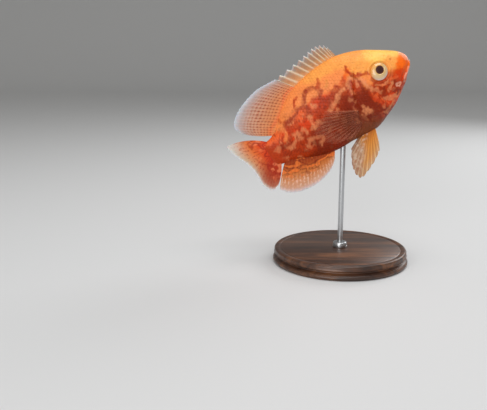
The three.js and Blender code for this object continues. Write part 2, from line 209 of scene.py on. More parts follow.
def cloud(x, z, size, seed):
    """Smooth noise from -1 to 1 with bumps of one size in millimetres."""
    cells = np.random.default_rng(seed).uniform(-1.0, 1.0, (64, 64))
    u, v = x / size + 200.0, z / size + 200.0
    i, k = np.floor(u).astype(int), np.floor(v).astype(int)
    fu, fv = u - i, v - k
    fu, fv = fu * fu * (3.0 - 2.0 * fu), fv * fv * (3.0 - 2.0 * fv)
    low = cells[i % 64, k % 64] * (1 - fu) + cells[(i + 1) % 64, k % 64] * fu
    high = cells[i % 64, (k + 1) % 64] * (1 - fu) + cells[(i + 1) % 64, (k + 1) % 64] * fu
    return low * (1 - fv) + high * fv


def swell(value, middle, width):
    """1 at a middle value, falling away smoothly to either side of it."""
    return np.exp(-((value - middle) / width) ** 2)


def along_route(points, x, z):
    """Each place's distance from a smooth route, and its share of the way along it."""
    line = through(points, np.linspace(0.0, 1.0, 5 * len(points)))
    nearest = np.full(np.shape(x), 1e9)
    share = np.zeros(np.shape(x))
    for k, (a, b) in enumerate(zip(line, line[1:])):
        run = b - a
        t = np.clip(((x - a[0]) * run[0] + (z - a[1]) * run[1]) / max(run @ run, 1e-9), 0.0, 1.0)
        away = (x - a[0] - t * run[0]) ** 2 + (z - a[1] - t * run[1]) ** 2
        share = np.where(away < nearest, (k + t) / (len(line) - 1), share)
        nearest = np.minimum(nearest, away)
    return np.sqrt(nearest), share


def ahead_of(line, x, z):
    """How far each place lies ahead of a line that runs up or down the side of the head."""
    line = sorted(line, key=lambda p: p[1])
    return x - np.interp(z, [p[1] for p in line], [p[0] for p in line])


MOUTH_LINE = ((78.8, -4.9), (82.6, -2.6), (85.6, -0.6), (87.2, 0.9), (88.6, 2.4))
LIP_GROOVE = ((78.8, -4.9), (79.8, -1.8), (82.8, 1.8), (85.4, 5.2), (87.2, 7.6))
CHIN_GROOVE = ((78.8, -4.9), (77.2, -7.2), (75.0, -10.4))
CREASES = ((LIP_GROOVE, 0.20, 0.55), (CHIN_GROOVE, 0.20, 0.45))  # route, depth and width
LIP_HEIGHT = 0.30
LIP_FROM_MOUTH = 1.1
MOUTH_DEPTH = 0.60
GILL_OPENING = (
    (60.5, 15.5), (57.5, 11.0), (54.2, 6.0), (52.3, 0.5), (51.8, -5.0), (52.8, -11.0), (56.5, -16.0),
)
COVER_STEP = 0.50  # how far the gill cover stands proud, and the depth of the opening behind it
FORE_COVER = ((62.4, 9.0), (62.6, 1.0), (64.4, -5.5), (65.0, -12.0))
NOSTRIL = (79.4, 9.2)
NOSTRIL_DEPTH = 0.60
PORE_DEPTH = 0.16
PORES = (
    (76.6, -4.9), (74.0, -8.3), (71.0, -10.6), (67.6, -12.4), (78.0, 0.6), (75.4, -0.6), (72.4, -1.2),
    (69.0, -0.6), (66.2, 1.6), (64.8, 5.4), (77.6, 12.2), (72.4, 15.4), (65.2, 13.2), (82.0, 5.2),
)


def relief(x, z):
    """How far the skin is raised or sunk at places on the side of the head, in millimetres."""
    height = np.zeros(np.shape(x))
    away, share = along_route(MOUTH_LINE, x, z)
    open_ends = smooth(0.0, 0.10, share) * (1.0 - 0.55 * smooth(86.0, 88.3, x))
    parting = MOUTH_DEPTH * swell(away, 0.0, 0.30)
    height += open_ends * (LIP_HEIGHT * swell(away, LIP_FROM_MOUTH, 0.65) - parting)
    for line, depth, width in CREASES:
        away, share = along_route(line, x, z)
        height -= depth * swell(away, 0.0, width) * smooth(1.0, 0.82, share)
    ahead = ahead_of(GILL_OPENING, x, z)
    within = smooth(-17.5, -14.0, z) * smooth(16.5, 13.5, z)
    height += within * COVER_STEP * smooth(-0.1, 0.5, ahead) * smooth(7.0, 1.0, ahead)
    height -= within * COVER_STEP * swell(ahead, -0.35, 0.5)
    ahead = ahead_of(FORE_COVER, x, z)
    within = smooth(-14.5, -12.0, z) * smooth(10.5, 8.0, z)
    height += within * (0.26 * swell(ahead, 0.9, 0.9) - 0.32 * swell(ahead, -0.3, 0.4))
    away = np.hypot(x - NOSTRIL[0], z - NOSTRIL[1])
    height += 0.12 * swell(away, 1.05, 0.35) - NOSTRIL_DEPTH * swell(away, 0.0, 0.55)
    for pore in PORES:
        height -= PORE_DEPTH * swell(np.hypot(x - pore[0], z - pore[1]), 0.0, 0.42)
    cheek = smooth(60.0, 66.0, x) * smooth(6.0, 0.0, z)
    height += cheek * 0.14 * cloud(x, z, 2.2, 41)
    height += smooth(56.0, 60.0, x) * 0.05 * cloud(x, z, 0.9, 42)
    return height


shares = np.linspace(0.0, 1.0, 1801)


def share_at(x):
    """The share of the sections that lies at a length along the body."""
    return np.interp(x, through(SECTIONS, shares)[:, 0], shares)


EYE_SHARE = share_at(EYE[0])
quarter = np.linspace(0.02, math.pi / 2, 400)
side_of_head = bare_body(np.full(quarter.shape, EYE_SHARE), quarter)
EYE_SURFACE = np.interp(-EYE[1], -side_of_head[:, 2], side_of_head[:, 1])
EYE_RIM = EYE_SURFACE + EYE_PROUD - EYE_DOME


def eye_plane(x, z):
    """How far out the plane of the eye's rim stands at places on the side of the head."""
    return EYE_RIM - (x - EYE[0]) * math.tan(EYE_FORWARD) - (z - EYE[1]) * math.tan(EYE_UP)


def skin(share, angle):
    """The finished skin's surface, with the relief along its own normals and the eye sockets in it."""
    inner = np.clip(share, 0.001, 0.999)
    step = 0.0008
    turn = 0.004
    along = bare_body(inner + step, angle) - bare_body(inner - step, angle)
    around = bare_body(inner, angle + turn) - bare_body(inner, angle - turn)
    normal = np.cross(around, along)
    normal /= np.maximum(np.linalg.norm(normal, axis=-1, keepdims=True), 1e-9)
    place = bare_body(share, angle)
    side = np.sign(place[..., 1])
    near_tip = smooth(0.0, 0.02, share)
    flank = np.maximum(smooth(0.2, 1.6, np.abs(place[..., 1])), smooth(83.0, 85.5, place[..., 0]))
    raised = flank * relief(place[..., 0], place[..., 2]) - SKIN_DEPTH
    place = place + normal * (near_tip * raised)[..., None]
    away = np.hypot(place[..., 0] - EYE[0], place[..., 2] - EYE[1])
    fold = 0.42 * swell(away, 5.7, 0.55) - 0.22 * swell(away, 4.95, 0.28) + 0.14 * swell(away, 7.3, 0.4)
    rim = eye_plane(place[..., 0], place[..., 2]) + EYE_LID + fold - SOCKET_DEPTH * smooth(4.8, 4.2, away)
    held = smooth(8.6, 5.6, away) * flank
    place[..., 1] += (side * rim - place[..., 1]) * held
    return place


def to_frame(place):
    """Fish millimetres as metres in the frame."""
    x, y, z = place[..., 0], place[..., 1], place[..., 2]
    cosine, sine = math.cos(NOSE_UP), math.sin(NOSE_UP)
    along = TAIL_ROOT[0] + x * cosine - z * sine
    up = TAIL_ROOT[1] + x * sine + z * cosine
    return np.stack([along, y, up], -1) / 1000.0


# Markings of the skin: broad grounds that run into each other, finely marbled on the flank and
# cheek, with veins laid over them one after another, all in a palette of 14 colours. The grounds
# are lighter on the forehead and back and darker on the belly, partly as the fish's own colour and
# partly as painted light from above: painted highlight on the top, painted shade underneath.
PALETTE = {
    name: linear(colour) for name, colour in {
        "butter": "#FFC25C", "apricot": "#F8A04C", "peach": "#F68C4A", "tan": "#D0863C", "orange": "#FC6C14",
        "coral": "#EE642E", "vermilion": "#DA400E", "salmon": "#E88E5C", "shell": "#F8B294",
        "brick": "#B83A10", "rust": "#A03210", "oxblood": "#86260A", "maroon": "#72200C", "umber": "#7E3E20",
    }.items()
}
# The light grounds on the forehead and back hold painted highlight, the dark ones on the belly painted shade
GROUNDS_AND_PAINTED_LIGHT = (  # colour, middle, reach along and up
    ("butter", (74, 15), (8, 4)), ("apricot", (61, 22), (9, 3.5)), ("butter", (83, 10.5), (4, 2.5)),
    ("apricot", (65, 14), (7, 4)), ("apricot", (79, 7.5), (4, 3)), ("orange", (84.5, 4), (4, 3.5)),
    ("vermilion", (80.5, -0.5), (3.5, 3)), ("brick", (76, -5), (4, 4)), ("brick", (67.5, -2.5), (6, 4.5)),
    ("vermilion", (72, -9), (5, 3.5)), ("peach", (64, 7), (3.5, 3)), ("oxblood", (57, -4), (6, 6)),
    ("brick", (55.5, 8), (4, 3.5)), ("oxblood", (64, -15), (6, 3)), ("oxblood", (49, 0), (5, 5)),
    ("apricot", (48, 23), (13, 4)), ("peach", (47, 16.5), (9, 4.5)), ("peach", (31, 17.5), (10, 5.5)),
    ("peach", (19, 19), (7, 5)), ("peach", (12, 10.5), (6, 4)), ("coral", (5, 6.5), (5, 2.4)),
    ("vermilion", (36, 10.0), (8, 3)), ("brick", (38, 3.5), (8, 4.5)), ("coral", (25, 9.0), (6, 3)),
    ("vermilion", (24, 4), (7, 3)), ("vermilion", (14, 4), (5, 4)), ("brick", (3, -1.5), (5, 5)),
    ("brick", (16, -7), (8, 5)),
    ("rust", (33, -5), (10, 5)), ("oxblood", (31, -14), (13, 4)), ("umber", (46, -7), (6, 5)),
    ("umber", (46, -16), (8, 4)), ("umber", (58, -18), (7, 3)),
)
VEINS = (  # colour, width in millimetres, strength, and the points that it passes
    ("orange", 2.2, 0.9, ((57.6, 16.6), (56.6, 15.0), (54.8, 14.2))),
    ("brick", 1.6, 0.95, ((57.4, 19.0), (57.3, 16.0), (58.0, 13.2), (59.6, 11.8), (62.4, 10.6), (65.6, 9.2))),
    ("vermilion", 1.6, 0.6, ((54.6, 14.2), (52.6, 13.4), (50.4, 12.6))),
    ("oxblood", 1.2, 0.7, ((57.6, 12.8), (59.0, 10.6), (59.6, 7.6), (58.9, 4.4), (58.6, 1.2))),
    ("salmon", 1.5, 0.7, ((53.2, 5.4), (53.4, 9.4), (55.0, 11.6), (57.0, 11.2), (58.0, 9.0), (57.0, 6.2))),
    ("salmon", 1.6, 0.7, ((60.4, 9.4), (61.2, 7.0), (62.0, 4.6), (63.0, 2.0), (65.4, -1.4), (67.0, -2.6))),
    ("vermilion", 1.7, 0.7, ((60.6, 0.2), (61.2, -2.4), (62.6, -4.8), (63.4, -7.2), (64.2, -9.6))),
    ("oxblood", 1.6, 0.7, ((59.6, 3.0), (60.0, -0.6), (59.4, -4.6), (60.6, -8.4), (62.0, -9.4))),
    ("oxblood", 1.5, 0.6, ((66.4, 1.4), (67.6, -0.6), (68.0, -3.4), (67.2, -5.2), (68.4, -7.0))),
    ("rust", 1.1, 0.7, ((65.6, 6.4), (65.8, 4.4), (66.8, 2.6), (68.8, 1.4), (71.0, 1.0))),
    ("salmon", 0.9, 0.6, ((66.4, 1.6), (68.6, 0.6), (71.0, 0.2), (73.2, 0.7))),
    ("coral", 1.8, 0.6, ((74.4, 0.2), (76.4, -0.8), (77.6, -1.0))),
    ("salmon", 1.2, 0.6, ((74.6, -1.8), (73.0, -3.2), (71.0, -3.6), (70.2, -5.6))),
    ("maroon", 1.9, 0.6, ((72.4, -6.6), (74.4, -7.4), (75.6, -8.6))),
    ("shell", 1.0, 0.8, ((75.6, -5.4), (75.9, -4.0), (77.2, -3.9), (77.8, -5.2), (76.8, -6.0), (75.6, -5.4))),
    ("salmon", 1.4, 0.7, ((66.6, -6.8), (68.0, -7.8), (69.6, -8.8), (71.0, -8.6), (73.2, -9.4),
                         (74.4, -9.8))),
    ("salmon", 1.2, 0.5, ((63.4, -13.4), (65.2, -13.8), (69.6, -11.6), (71.0, -11.8))),
    ("oxblood", 3.0, 0.7, ((47.4, 1.4), (50.0, -0.6), (53.0, -2.0), (57.0, -2.0))),
    ("oxblood", 1.6, 0.7, ((43.2, 3.4), (45.4, 5.2), (48.4, 6.0), (49.2, 4.4))),
    ("salmon", 1.8, 0.7, ((53.8, -6.0), (56.2, -7.0), (57.0, -9.0))),
    ("maroon", 2.4, 0.7, ((50.6, -9.6), (54.4, -11.0), (57.0, -13.0))),
    ("salmon", 1.8, 0.8, ((38.2, 3.2), (40.6, 4.8), (43.2, 6.0), (46.0, 7.4), (48.8, 8.8), (51.0, 9.6))),
    ("rust", 2.8, 0.8, ((35.8, 8.8), (38.4, 9.6), (41.4, 9.0), (44.4, 10.0), (47.6, 11.4))),
    ("rust", 1.7, 0.7, ((37.4, 12.0), (38.6, 11.2), (40.0, 7.0), (39.4, 5.4))),
    ("brick", 1.5, 0.6, ((47.6, 12.4), (50.6, 11.0), (52.6, 12.6), (53.0, 14.0))),
    ("tan", 1.4, 0.5, ((42.8, 15.2), (44.4, 15.6), (45.2, 17.4))),
    ("rust", 1.8, 0.95, ((22.4, 10.8), (24.6, 12.6), (27.2, 13.0), (29.4, 14.8), (30.8, 16.8), (33.2, 18.2),
                             (36.2, 18.6), (38.4, 17.4), (39.4, 15.6), (38.6, 13.8), (37.8, 12.0))),
    ("brick", 1.3, 0.95, ((39.2, 16.8), (40.6, 18.0), (41.2, 20.4))),
    ("peach", 2.6, 0.6, ((33.0, 15.4), (35.6, 16.2), (37.0, 14.8))),
    ("brick", 1.5, 0.95, ((33.0, 12.3), (34.8, 12.6), (36.0, 12.9))),
    ("salmon", 2.4, 0.6, ((31.4, 9.6), (33.4, 9.9))),
    ("rust", 1.5, 0.6, ((29.2, 10.6), (29.2, 8.4), (31.6, 7.4), (34.6, 7.8))),
    ("peach", 2.2, 0.6, ((25.6, 15.0), (27.4, 14.4), (28.8, 16.6))),
    ("brick", 1.3, 0.95, ((24.0, 14.8), (25.4, 17.0), (27.2, 18.4))),
    ("rust", 1.5, 0.95, ((26.2, 12.6), (28.0, 11.4), (29.4, 10.4))),
    ("coral", 1.6, 0.7, ((18.4, 5.4), (20.8, 7.8), (23.4, 9.6), (25.6, 10.6))),
    ("rust", 1.7, 0.95, ((13.4, 8.2), (16.2, 9.9), (19.4, 10.4), (22.0, 11.0))),
    ("brick", 1.7, 0.8, ((14.6, 7.2), (16.4, 6.2), (18.6, 6.4), (20.6, 8.4))),
    ("peach", 2.0, 0.8, ((11.0, 2.2), (12.4, 4.8), (12.2, 7.4), (12.6, 10.0))),
    ("brick", 1.0, 0.7, ((13.2, 13.6), (13.8, 12.0), (15.2, 10.4))),
    ("rust", 1.6, 0.7, ((14.4, 4.6), (15.8, 4.0), (14.0, 2.4), (12.4, 1.0))),
    ("salmon", 1.5, 0.7, ((15.4, 2.6), (17.6, 1.6), (18.2, 0.0), (22.2, 2.8), (22.4, -1.6))),
    ("rust", 1.5, 0.6, ((19.8, 4.8), (20.0, 1.6), (19.6, -2.0))),
    ("salmon", 1.2, 0.7, ((8.8, -1.0), (10.4, -2.9), (12.6, -2.6), (14.6, -1.4), (15.8, 0.6))),
    ("oxblood", 1.6, 0.7, ((6.6, 0.4), (7.4, -1.6), (10.4, -0.9), (12.4, -0.6))),
    ("coral", 1.6, 0.8, ((1.4, 6.2), (4.4, 5.2), (7.4, 5.8), (9.0, 7.6))),
    ("salmon", 2.2, 0.5, ((2.4, -0.8), (4.8, -0.2), (5.0, 1.0))),
    ("salmon", 1.7, 0.6, ((26.8, 6.8), (28.2, 5.4), (26.6, -0.4), (30.2, 0.8))),
    ("salmon", 1.6, 0.6, ((20.0, -8.8), (20.2, -6.4), (22.6, -5.0), (25.6, -5.2), (28.2, -6.6), (28.4, -9.0),
                         (25.8, -9.0))),
    ("maroon", 1.9, 0.7, ((22.2, -7.2), (24.2, -8.2), (23.8, -9.8))),
    ("brick", 2.4, 0.4, ((32.4, -10.6), (34.6, -7.8), (38.6, -10.0), (37.2, -13.2), (33.0, -13.0))),
    ("maroon", 2.0, 0.5, ((24.4, -15.4), (27.6, -14.6), (30.6, -14.2))),
    ("shell", 1.3, 0.6, ((85.6, 8.6), (86.8, 6.6), (87.6, 4.6), (88.0, 3.2))),
    ("coral", 1.4, 0.6, ((86.4, 3.2), (85.0, 1.6), (83.0, -0.4), (81.2, -1.8))),
    ("shell", 1.2, 0.7, ((86.2, -0.8), (84.2, -2.4), (82.0, -4.2), (80.4, -5.6))),
)


def markings(x, z, left):
    """The skin's colours at places on its side; left is 1 on the left side, which has its own marbling."""
    shift = left * smooth(62.0, 54.0, x)
    px = x + 0.75 * cloud(x, z, 2.3, 11) + 0.40 * cloud(x, z, 0.9, 13)
    pz = z + 0.65 * cloud(x, z, 2.0, 12) + 0.40 * cloud(x, z, 1.0, 14)
    px = px + shift * (3.4 * cloud(x, z, 9.0, 21) + 2.0)
    pz = pz + shift * 2.8 * cloud(x, z, 8.0, 22)
    total = np.full(x.shape, 1e-9)
    colour = np.zeros(x.shape + (3,))
    for tone, (cx, cz), (rx, rz) in GROUNDS_AND_PAINTED_LIGHT:
        apart = ((px - cx) / rx) ** 2 + ((pz - cz) / rz) ** 2
        weight = 1.0 / (0.25 + apart) ** 3
        total += weight
        colour += weight[..., None] * PALETTE[tone]
    colour /= total[..., None]
    flank = smooth(2.0, 8.0, px) * smooth(60.0, 54.0, px) * smooth(17.0, 9.0, pz) * smooth(-17.0, -10.0, pz)
    cheek = smooth(60.0, 64.0, px) * smooth(79.0, 75.0, px) * smooth(4.0, -1.0, pz)
    worms = cloud(px, pz, 2.6, 51) + 0.5 * cloud(px, pz, 1.2, 52)
    dark = smooth(0.30, 0.06, np.abs(worms)) * (0.62 * flank + 0.55 * cheek)
    blots = cloud(px, pz, 2.1, 53) + 0.4 * cloud(px, pz, 1.0, 54)
    pale = smooth(0.25, 0.65, blots) * (0.60 * flank + 0.45 * cheek)
    drops = smooth(0.25, 0.60, cloud(px, pz, 1.3, 55)) * 0.75 * cheek
    colour += (PALETTE["salmon"] - colour) * pale[..., None]
    colour += (PALETTE["coral"] - colour) * drops[..., None]
    colour += (PALETTE["oxblood"] - colour) * dark[..., None]
    for tone, width, strength, points in VEINS:
        low, high = np.min(points, axis=0) - 2 * width, np.max(points, axis=0) + 2 * width
        near = (px > low[0]) & (px < high[0]) & (pz > low[1]) & (pz < high[1])
        away, share = along_route(points, px[near], pz[near])
        uneven = 1.0 + 0.30 * cloud(px[near], pz[near], 1.6, 61)
        width_here = width * (0.72 + 0.28 * np.sin(math.pi * share)) * uneven
        cover = strength * (0.85 + 0.25 * cloud(px[near], pz[near], 1.3, 62))
        cover = cover * smooth(width_here, 0.40 * width_here, away)
        colour[near] += (PALETTE[tone] - colour[near]) * np.clip(cover, 0.0, 1.0)[:, None]
    # The nostril and the pores are darkened in their pits with painted shade
    for middle, wide in ((NOSTRIL, 0.55), *((pore, 0.36) for pore in PORES)):
        sunk = swell(np.hypot(x - middle[0], z - middle[1]), 0.0, wide)
        colour += (PALETTE["tan"] * 0.7 - colour) * (0.4 * sunk)[..., None]
    mottle = 1.0 + 0.06 * cloud(x, z, 0.8, 31) + 0.05 * cloud(x, z, 2.6, 32)
    return np.clip(colour * mottle[..., None], 0.0, 1.0)


def body_colour(place):
    """The markings and painted light at places in the fish's space, both sides run together along the ridges.
    """
    x, y, z = place[..., 0], place[..., 1], place[..., 2]
    return markings(x, z, smooth(-0.5, 2.5, y))


def coordinates(mesh):
    """A mesh's vertices as an array."""
    values = np.zeros(len(mesh.vertices) * 3)
    mesh.vertices.foreach_get("co", values)
    return values.reshape(-1, 3)


def add_piece(name, mesh, place, material, replaced, colours=None):
    """Places a closed mesh's vertices, turns its faces outwards and adds it to the model."""
    mesh.vertices.foreach_set("co", place.astype(np.float32).ravel())
    mesh.update()
    if colours is not None:
        layer = mesh.color_attributes.new("markings", "FLOAT_COLOR", "POINT")
        values = np.ones((len(colours), 4))
        values[:, :colours.shape[1]] = colours
        layer.data.foreach_set("color", values.astype(np.float32).ravel())
    mesh.calc_loop_triangles()
    corners = np.zeros(len(mesh.loop_triangles) * 3, int)
    mesh.loop_triangles.foreach_get("vertices", corners)
    a, b, c = place[corners.reshape(-1, 3)].transpose(1, 0, 2)
    if np.einsum("ij,ij->i", np.cross(a, b), c).sum() < 0:
        mesh.flip_normals()
    mesh.shade_smooth()
    mesh.materials.append(material)
    piece = bpy.data.objects.new(name, mesh)
    bpy.context.scene.collection.objects.link(piece)
    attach(piece, "root")
    if replaced:
        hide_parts(*replaced)


def as_mesh(name, bm):
    """A mesh from a finished bmesh, which is freed."""
    mesh = bpy.data.meshes.new(name)
    bm.to_mesh(mesh)
    bm.free()
    return mesh


SPECKLE_MM = 0.6


def painted_resin(name, grain_mm, dents_mm, **sockets):
    """Cast resin painted with the markings under a satin varnish, with fine grain and soft dents."""
    material, tree, shader = new_material(name, **sockets)
    spot = add_node(tree, "TexCoord").outputs["Object"]
    paint = add_node(tree, "Attribute", attribute_name="markings").outputs["Color"]
    speckle = add_node(tree, "TexNoise", {"Vector": spot, "Scale": per_metre(SPECKLE_MM), "Detail": 4.0})
    tone = add_node(tree, "MapRange", {"Value": speckle.outputs[0], "To Min": 0.86, "To Max": 1.12})
    mixed = add_node(tree, "VectorMath", {0: paint, 1: tone.outputs[0]}, operation="MULTIPLY")
    tree.links.new(mixed.outputs[0], shader.inputs["Base Color"])
    gloss = add_node(tree, "MapRange", {"Value": speckle.outputs[0], "To Min": 0.30, "To Max": 0.46})
    tree.links.new(gloss.outputs[0], shader.inputs["Roughness"])
    dents = add_node(tree, "TexNoise", {"Vector": spot, "Scale": per_metre(dents_mm), "Detail": 2.0})
    grain = add_node(tree, "TexNoise", {"Vector": spot, "Scale": per_metre(grain_mm)})
    soft = add_node(tree, "Bump", {"Height": dents.outputs[0], "Strength": 0.35, "Distance": 0.00012})
    fine = add_node(tree, "Bump", {"Height": grain.outputs[0], "Normal": soft.outputs[0], "Strength": 0.25,
                                   "Distance": 0.00005})
    tree.links.new(fine.outputs[0], shader.inputs["Normal"])
    return material


# Painted resin: a satin varnish over the markings gives the wet look of living skin
skin_material = painted_resin("painted_resin_skin", 0.22, 1.1, Coat_Weight=0.06, Coat_Roughness=0.15,
                              Specular_IOR_Level=0.15, Subsurface_Weight=0.06, Subsurface_Scale=0.0008)
SKIN_RINGS = 290
SKIN_SIDES = 340
bm = bmesh.new()
bmesh.ops.create_uvsphere(bm, u_segments=SKIN_SIDES, v_segments=SKIN_RINGS, radius=1.0)
skin_mesh = as_mesh("skin", bm)
ball = coordinates(skin_mesh)
polar = np.arccos(np.clip(ball[:, 2], -1.0, 1.0)) / math.pi
share = np.interp(polar, [0.0, 0.36, 1.0], [0.0, HEAD_START, 1.0])
angle = np.arctan2(ball[:, 1], ball[:, 0])
skin_place = skin(share, angle)
snout = float(relief(SECTIONS[-1, 0], SECTIONS[-1, 1:3].mean())) - SKIN_DEPTH
for end, tip, ahead in ((polar < 1e-4, 0, 0.0), (polar > 1 - 1e-4, -1, snout)):
    skin_place[end] = (SECTIONS[tip, 0] + ahead, 0.0, (SECTIONS[tip, 1] + SECTIONS[tip, 2]) / 2)
FLESH = ("head", "upper_jaw", "lower_jaw", "gill_cover_right", "gill_cover_left", "trunk", "tail")
add_piece("skin", skin_mesh, to_frame(skin_place), skin_material, FLESH, body_colour(skin_place))

# Scales: thin horn-like plates in overlapping rows, rooted in the skin and lying towards the tail,
# smaller on the head and near the tail, and flatter on the nape. The snout, lips, chin and eye rims
# are bare, as on the living fish.
SCALE_STEP = 1.45  # along the body, from one column of scales to the next
SCALE_ROW = 2.0  # across the body
SCALE_LENGTH = 2.7
SCALE_THICKNESS = 0.05
SCALE_LIFT = 0.07
SCALE_SINK = 0.06
SCALE_CROWN = 0.05
SCALE_OVERLAP = 0.72
UV_PATCH = 0.003
BARE_ROUND_EYE = 8.9
BARE_SNOUT = 74.0
LENGTH_ROWS = 620
GIRTH_STEPS = 300
table_x = np.linspace(-1.2, 80.0, LENGTH_ROWS)
table_share = share_at(table_x)
table_angle = np.linspace(0.001, math.pi - 0.001, GIRTH_STEPS)
grid_share, grid_angle = np.meshgrid(table_share, table_angle, indexing="ij")
flank_grid = skin(grid_share, grid_angle)
girth = np.concatenate([
    np.zeros((LENGTH_ROWS, 1)),
    np.cumsum(np.linalg.norm(np.diff(flank_grid, axis=1), axis=2), axis=1),
], axis=1)
even = np.linspace(0.0, 1.0, GIRTH_STEPS)
for row in range(LENGTH_ROWS):
    reach = girth[row] / girth[row, -1]
    flank_grid[row] = np.stack([np.interp(even, reach, flank_grid[row, :, k]) for k in range(3)], -1)
half_girth = girth[:, -1]
widest = girth[:, np.argmin(np.abs(table_angle - math.pi / 2))]
flank_normal = np.cross(np.gradient(flank_grid, axis=1), np.gradient(flank_grid, axis=0))
flank_normal /= np.linalg.norm(flank_normal, axis=2, keepdims=True)
if flank_normal[LENGTH_ROWS // 2, GIRTH_STEPS // 2, 1] < 0:
    flank_normal = -flank_normal


def on_flank(grid, x, arc):
    """Reads a grid of the left flank at lengths along the body and arcs down from the back's ridge."""
    row = np.clip(np.interp(x, table_x, np.arange(LENGTH_ROWS)), 0, LENGTH_ROWS - 1.001)
    column = np.clip(arc / np.interp(x, table_x, half_girth), 0.0, 1.0) * (GIRTH_STEPS - 1.001)
    i, k = np.floor(row).astype(int), np.floor(column).astype(int)
    behind = (row - i)[..., None]
    below = (column - k)[..., None]
    upper = grid[i, k] * (1 - behind) + grid[i + 1, k] * behind
    lower = grid[i, k + 1] * (1 - behind) + grid[i + 1, k + 1] * behind
    return upper * (1 - below) + lower * below


def scale_plate():
    """One scale's closed plate: x from root to rear edge, y from side to side, and z 0 or 1."""
    bm = bmesh.new()
    bmesh.ops.create_grid(bm, x_segments=5, y_segments=4, size=1.0)
    outer = bmesh.ops.extrude_face_region(bm, geom=bm.faces[:])
    raised = [item for item in outer["geom"] if isinstance(item, bmesh.types.BMVert)]
    bmesh.ops.translate(bm, verts=raised, vec=(0.0, 0.0, 1.0))
    bmesh.ops.recalc_face_normals(bm, faces=bm.faces[:])
    return bm


def scale_roots(random):
    """Where the scales are rooted on one side: length, arc, size and lift of each."""
    roots = []
    for column, x in enumerate(np.arange(1.6, 75.5, SCALE_STEP)):
        middle = np.interp(x, table_x, widest)
        length = np.interp(x, table_x, half_girth)
        half = 0.5 * (column % 2)
        first = math.ceil(-middle / SCALE_ROW - half)
        last = math.floor((length - middle) / SCALE_ROW - half)
        rows = np.arange(first, last + 1)
        for arc in middle + (rows + half) * SCALE_ROW:
            place = on_flank(flank_grid, np.array([x]), np.array([arc]))[0]
            ahead = ahead_of(GILL_OPENING, place[0], place[2])
            in_cover = -15.0 < place[2] < 14.0
            bare = math.hypot(place[0] - EYE[0], place[2] - EYE[1]) < BARE_ROUND_EYE
            bare = bare or (in_cover and -2.2 < ahead < 0.8) or place[0] > BARE_SNOUT + 0.1 * place[2]
            bare = bare or (place[0] > 58.0 and place[2] < -13.0)
            bare = bare or (abs(ahead_of(FORE_COVER, place[0], place[2])) < 1.0 and -13.0 < place[2] < 9.0)
            if bare:
                continue
            head = float(smooth(54.0, 66.0, place[0]))
            tail = float(smooth(16.0, 3.0, place[0]))
            size = (1.0 - 0.38 * head) * (1.0 - 0.22 * tail) * random.uniform(0.94, 1.04)
            nape = float(smooth(30.0, 48.0, place[0]) * smooth(6.0, 14.0, place[2]))
            lift = (1.0 - 0.55 * head) * (1.0 - 0.6 * nape)
            roots.append((x, arc + random.uniform(-0.05, 0.05), size, lift))
    return np.array(roots)


# Painted horn: thin plates that carry the skin's own markings and catch the light on each edge,
# with a painted highlight along each rear edge and painted shade at each root
scale_material = painted_resin("painted_horn_scales", 0.3, 1.6, Coat_Weight=0.06, Coat_Roughness=0.18,
                               Specular_IOR_Level=0.12)
for side, name in ((-1.0, "scales_right"), (1.0, "scales_left")):
    random = np.random.default_rng(7 if side < 0 else 8)
    roots = scale_roots(random)
    plate = as_mesh("plate", scale_plate())
    local = coordinates(plate)
    faces = np.zeros(len(plate.polygons) * 4, int)
    plate.polygons.foreach_get("vertices", faces)
    count = len(roots)
    u, v, outer = (local[:, 0] + 1.0) / 2.0, local[:, 1], local[:, 2]
    length = u * (1.0 - 0.36 * v ** 2) * SCALE_LENGTH
    width = v * (0.72 + 0.28 * np.sin(math.pi * np.clip(1.15 * u, 0.0, 1.0))) * SCALE_ROW * SCALE_OVERLAP
    height = -SCALE_SINK + SCALE_LIFT * u ** 1.4 + SCALE_CROWN * (1.0 - v ** 2) * u
    height += outer * SCALE_THICKNESS
    x = roots[:, 0, None] - length * roots[:, 2, None]
    arc = roots[:, 1, None] + width * roots[:, 2, None]
    lift = np.where(height > 0, height * roots[:, 3, None], height)
    place = on_flank(flank_grid, x, arc) + on_flank(flank_normal, x, arc) * lift[..., None]
    place[..., 1] *= side
    # Painted highlight towards each scale's free rear edge and painted shade at its root under the scale
    # before it
    colours = body_colour(place) * (1.0 + 0.05 * u ** 4 - 0.03 * (1.0 - u) ** 2)[None, :, None]
    colours = colours * random.uniform(0.97, 1.03, count)[:, None, None]
    mesh = bpy.data.meshes.new(name)
    mesh.vertices.add(count * len(local))
    every = (faces[None, :] + np.arange(count)[:, None] * len(local)).ravel()
    mesh.loops.add(len(every))
    mesh.polygons.add(len(every) // 4)
    mesh.loops.foreach_set("vertex_index", every)
    mesh.polygons.foreach_set("loop_start", np.arange(0, len(every), 4))
    root_u = (roots[:, 0] - table_x[0]) / (table_x[-1] - table_x[0]) * 0.94 + 0.03
    root_v = roots[:, 1] / half_girth.max() * 0.45 + (0.03 if side < 0 else 0.52)
    patch_u = root_u[:, None] - (u - 0.5) * UV_PATCH
    patch_v = root_v[:, None] + v / 2.0 * UV_PATCH
    spots = np.stack([patch_u, patch_v], -1).reshape(-1, 2)
    uv = mesh.uv_layers.new(name="OFBake")
    uv.data.foreach_set("uv", spots[every].astype(np.float32).ravel())
    mesh.update(calc_edges=True)
    add_piece(name, mesh, to_frame(place).reshape(-1, 3), scale_material, (),
              np.clip(colours, 0.0, 1.0).reshape(-1, 3))
    bpy.data.meshes.remove(plate)

